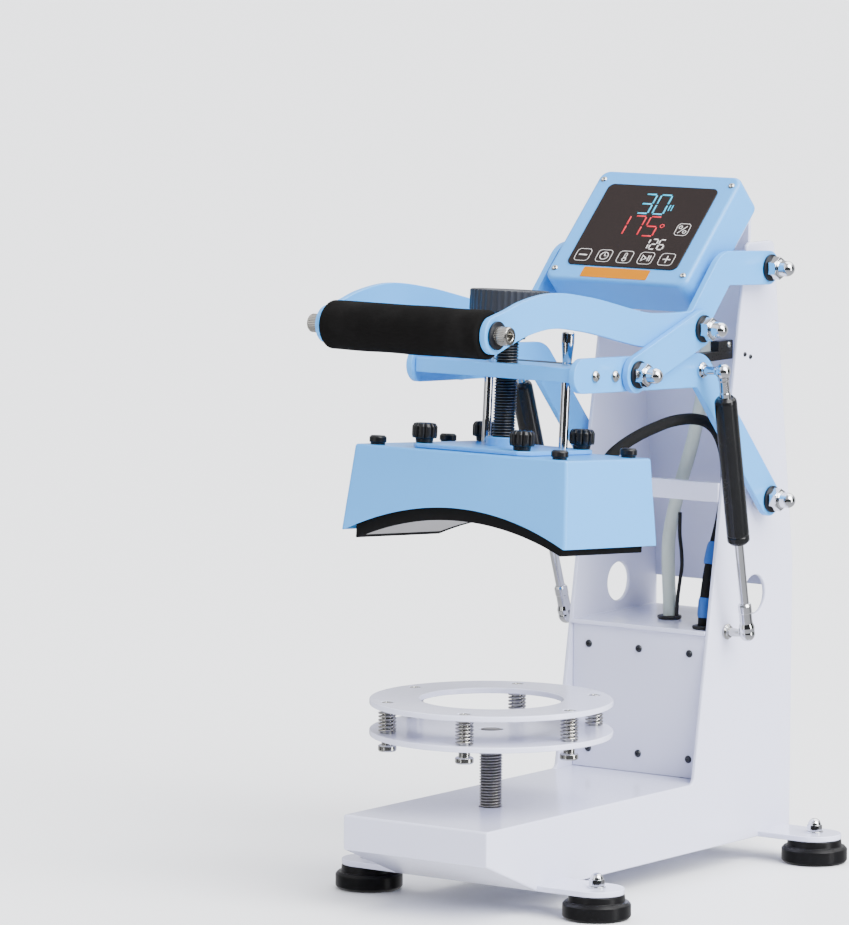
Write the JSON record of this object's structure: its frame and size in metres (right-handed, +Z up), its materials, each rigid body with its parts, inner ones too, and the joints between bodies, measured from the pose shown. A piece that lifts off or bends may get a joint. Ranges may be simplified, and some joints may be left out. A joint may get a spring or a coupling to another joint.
{
  "type": "ball heat press",
  "caption": "Benchtop heat press with a toggle handle that swings a curved heated platen down on a ball held on a sprung round support, with a tilted control box.",
  "frame": {"origin": "middle of the footprint at the height of the feet's soles, on the plane of symmetry of the frame", "axes": "+Z up, +Y from the grip and the ball support towards the column and the control box, +X across the machine towards the side with the heater cable"},
  "size_m": [0.299, 0.5108, 0.615],
  "materials": {
    "white_coat": "satin powder coat on steel",
    "blue_coat": "satin powder coat on steel",
    "chrome": "polished",
    "black_steel": "black oxide",
    "dark_zinc": "dull zinc",
    "spring_steel": "bright drawn wire",
    "foot_rubber": "matte",
    "foam": "closed-cell foam",
    "black_plastic": "matte",
    "slate_plastic": "matte moulded",
    "gas_black": "black paint",
    "platen_aluminium": "smooth",
    "panel_black": "gloss film over the keys and display",
    "board_green": "circuit board",
    "grey_sleeve": "smooth cable sheath",
    "black_sleeve": "woven heat-resistant sleeve"
  },
  "bodies": {
    "frame": {"welded_frame": "white_coat", "electronics_cover": "white_coat", "rear_cover": "white_coat", "mains_inlet": "black_plastic", "power_board": "board_green", "limit_switch": "black_plastic", "rubber_foot_front_left": "foot_rubber", "rubber_foot_front_right": "foot_rubber", "rubber_foot_rear_left": "foot_rubber", "rubber_foot_rear_right": "foot_rubber", "upper_pivot_shaft": "chrome", "lower_pivot_shaft": "chrome", "control_box": "blue_coat", "control_panel": "panel_black", "control_cable": "grey_sleeve", "heater_cable": "black_sleeve"},
    "rocker": {"power_switch": "black_plastic"},
    "handle": {"handle_arm_left": "blue_coat", "handle_arm_right": "blue_coat", "grip_bar": "chrome", "foam_grip": "foam", "link_bolt_left": "chrome", "link_bolt_right": "chrome"},
    "links": {"toggle_link_left": "blue_coat", "toggle_link_right": "blue_coat"},
    "arms": {"platen_arm_left": "blue_coat", "platen_arm_right": "blue_coat", "carrier_plate": "blue_coat", "link_shaft": "black_steel"},
    "gas_cylinders": {"gas_cylinder_left": "gas_black", "gas_cylinder_right": "gas_black"},
    "gas_rods": {"gas_rod_left": "chrome", "gas_rod_right": "chrome"},
    "head": {"platen_cover": "blue_coat", "insulation_block": "black_plastic", "heating_platen": "platen_aluminium", "clamp_plate": "blue_coat", "guide_rod_left": "chrome", "guide_rod_right": "chrome", "thumb_knob_front_left": "black_plastic", "thumb_knob_front_right": "black_plastic", "thumb_knob_rear_left": "black_plastic", "thumb_knob_rear_right": "black_plastic"},
    "screw": {"pressure_screw": "black_steel", "pressure_knob": "slate_plastic"},
    "support_lift": {"support_screw": "dark_zinc"},
    "support_turn": {"lower_support_plate": "white_coat", "support_spring_1": "spring_steel", "support_spring_2": "spring_steel", "support_spring_3": "spring_steel", "support_spring_4": "spring_steel", "support_spring_5": "spring_steel", "support_spring_6": "spring_steel"},
    "sprung_ring": {"upper_support_plate": "white_coat", "spring_bolt_1": "chrome", "spring_bolt_2": "chrome", "spring_bolt_3": "chrome", "spring_bolt_4": "chrome", "spring_bolt_5": "chrome", "spring_bolt_6": "chrome"}
  },
  "joints": [
    {"name": "handle_lift", "type": "hinge", "parent": "frame", "child": "handle", "pos_m": [0, 0.18663, 0.5335], "axis": [-1, 0, 0], "range_deg": [0, 78.02]},
    {"name": "arm_lift", "type": "hinge", "parent": "frame", "child": "arms", "pos_m": [0, 0.19213, 0.327], "axis": [-1, 0, 0], "range_deg": [0, 30.1], "deforming": ["heater_cable"]},
    {"name": "link_swing", "type": "hinge", "parent": "handle", "child": "links", "pos_m": [0, 0.06813, 0.488], "axis": [1, 0, 0], "range_deg": [0, 118.5]},
    {"name": "gas_rod_swing", "type": "hinge", "parent": "frame", "child": "gas_rods", "pos_m": [0, 0.14213, 0.2125], "axis": [-1, 0, 0], "range_deg": [0, 17.8]},
    {"name": "gas_cylinder_swing", "type": "hinge", "parent": "arms", "child": "gas_cylinders", "pos_m": [0, 0.07798, 0.45076], "axis": [1, 0, 0], "range_deg": [0, 12.3]},
    {"name": "head_slide", "type": "slide", "parent": "arms", "child": "head", "axis": [0, 0.0698, 0.9976], "range_m": [-0.015, 0.025]},
    {"name": "pressure_screw_turn", "type": "hinge", "parent": "head", "child": "screw", "pos_m": [0, -0.10066, 0.34747], "axis": [0, 0.0698, 0.9976], "range_deg": [-2160.5, 3600.5]},
    {"name": "support_raise", "type": "slide", "parent": "frame", "child": "support_lift", "axis": [0, 0, 1], "range_m": [-0.03, 0.025]},
    {"name": "support_plates_turn", "type": "hinge", "parent": "support_lift", "child": "support_turn", "pos_m": [0, -0.11237, 0.147], "axis": [0, 0, 1], "range_deg": [-4320.5, 3600.5]},
    {"name": "ring_float", "type": "slide", "parent": "support_turn", "child": "sprung_ring", "axis": [0, 0, 1], "range_m": [-0.008, 0.005], "stiffness_N_per_m": 12000, "springref_m": 0.0008, "deforming": ["support_spring_1", "support_spring_2", "support_spring_3", "support_spring_4", "support_spring_5", "support_spring_6"]},
    {"name": "power_rocker", "type": "hinge", "parent": "frame", "child": "rocker", "pos_m": [0.034, 0.24663, 0.13], "axis": [1, 0, 0], "range_deg": [0, 16]}
  ],
  "couplings": [
    {"joint": "arm_lift", "follows": "handle_lift", "ratio": 0.3845},
    {"joint": "link_swing", "follows": "handle_lift", "ratio": 1.5168},
    {"joint": "gas_rod_swing", "follows": "handle_lift", "ratio": 0.22742},
    {"joint": "gas_cylinder_swing", "follows": "handle_lift", "ratio": 0.15708},
    {"joint": "pressure_screw_turn", "follows": "head_slide", "rad_per_m": 2513.3},
    {"joint": "support_plates_turn", "follows": "support_raise", "rad_per_m": 2513.3}
  ]
}
